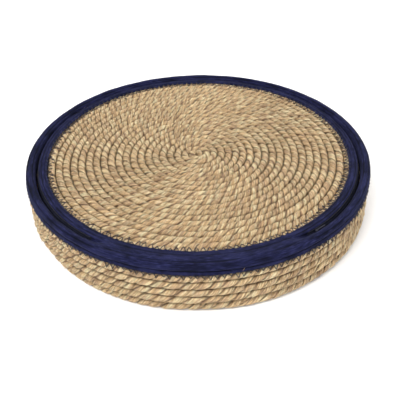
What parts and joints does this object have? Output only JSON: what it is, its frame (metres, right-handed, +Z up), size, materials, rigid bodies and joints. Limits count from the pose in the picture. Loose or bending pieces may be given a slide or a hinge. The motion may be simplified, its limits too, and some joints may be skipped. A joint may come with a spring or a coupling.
{
  "type": "chair seat pad",
  "caption": "Round seat pad of coiled twisted-straw rope with navy cloth edge bands, a zip opening under the rim and a foam core.",
  "frame": {"origin": "centre of the pad's underside, where it rests", "axes": "+Z up, out of the seat face; -Y towards the hinge panel, the side the pad is seen from; +X to the right from there"},
  "size_m": [0.4016, 0.4016, 0.063],
  "materials": {
    "straw": "twisted rush or water hyacinth rope, dry, matt to satin, uneven",
    "straw_thread": "plain two-ply thread",
    "navy_cotton": "plain-woven navy cotton, faint sheen",
    "navy_thread": "spun sewing thread",
    "zip_tape": "close woven polyester tape, dark",
    "zip_nylon": "dark nylon monofilament",
    "zip_metal": "dark enamelled zinc",
    "foam": "open-cell polyurethane foam, matt",
    "liner": "thin unbleached woven lining"
  },
  "bodies": {
    "cover": {"base_rope": "straw", "wall_rope": "straw", "base_lacing": "straw_thread", "wall_lacing": "straw_thread", "wall_binding": "navy_cotton", "wall_binding_stitch": "navy_thread", "hinge_panel": "navy_cotton", "zip_tape_lower": "zip_tape", "zip_seam_lower": "navy_thread", "zip_coil_lower": "zip_nylon", "zip_top_stop_lower": "zip_metal", "zip_bottom_stop": "zip_metal", "foam_core": "foam", "core_liner": "liner"},
    "lid": {"top_mat_rope": "straw", "top_mat_lacing": "straw_thread", "top_binding": "navy_cotton", "top_binding_stitch": "navy_thread", "zip_tape_upper": "zip_tape", "zip_seam_upper": "navy_thread", "zip_coil_upper": "zip_nylon", "zip_top_stop_upper": "zip_metal"},
    "zip_slider": {"zip_slider": "zip_metal"},
    "zip_pull": {"zip_pull": "zip_metal"}
  },
  "joints": [
    {"name": "lid_hinge", "type": "hinge", "parent": "cover", "child": "lid", "pos_m": [0, -0.1995, 0.063], "axis": [1, 0, 0], "range_deg": [0, 50], "deforming": ["hinge_panel"]},
    {"name": "zip_slider_travel", "type": "hinge", "parent": "cover", "child": "zip_slider", "pos_m": [0, 0, 0.053], "axis": [0, 0, 1], "range_deg": [0, 280], "deforming": ["zip_coil_upper", "zip_coil_lower"]},
    {"name": "zip_pull_flip", "type": "hinge", "parent": "zip_slider", "child": "zip_pull", "pos_m": [0.11737, -0.14494, 0.0585], "axis": [0.6293, -0.7771, 0], "range_deg": [0, 170]}
  ]
}
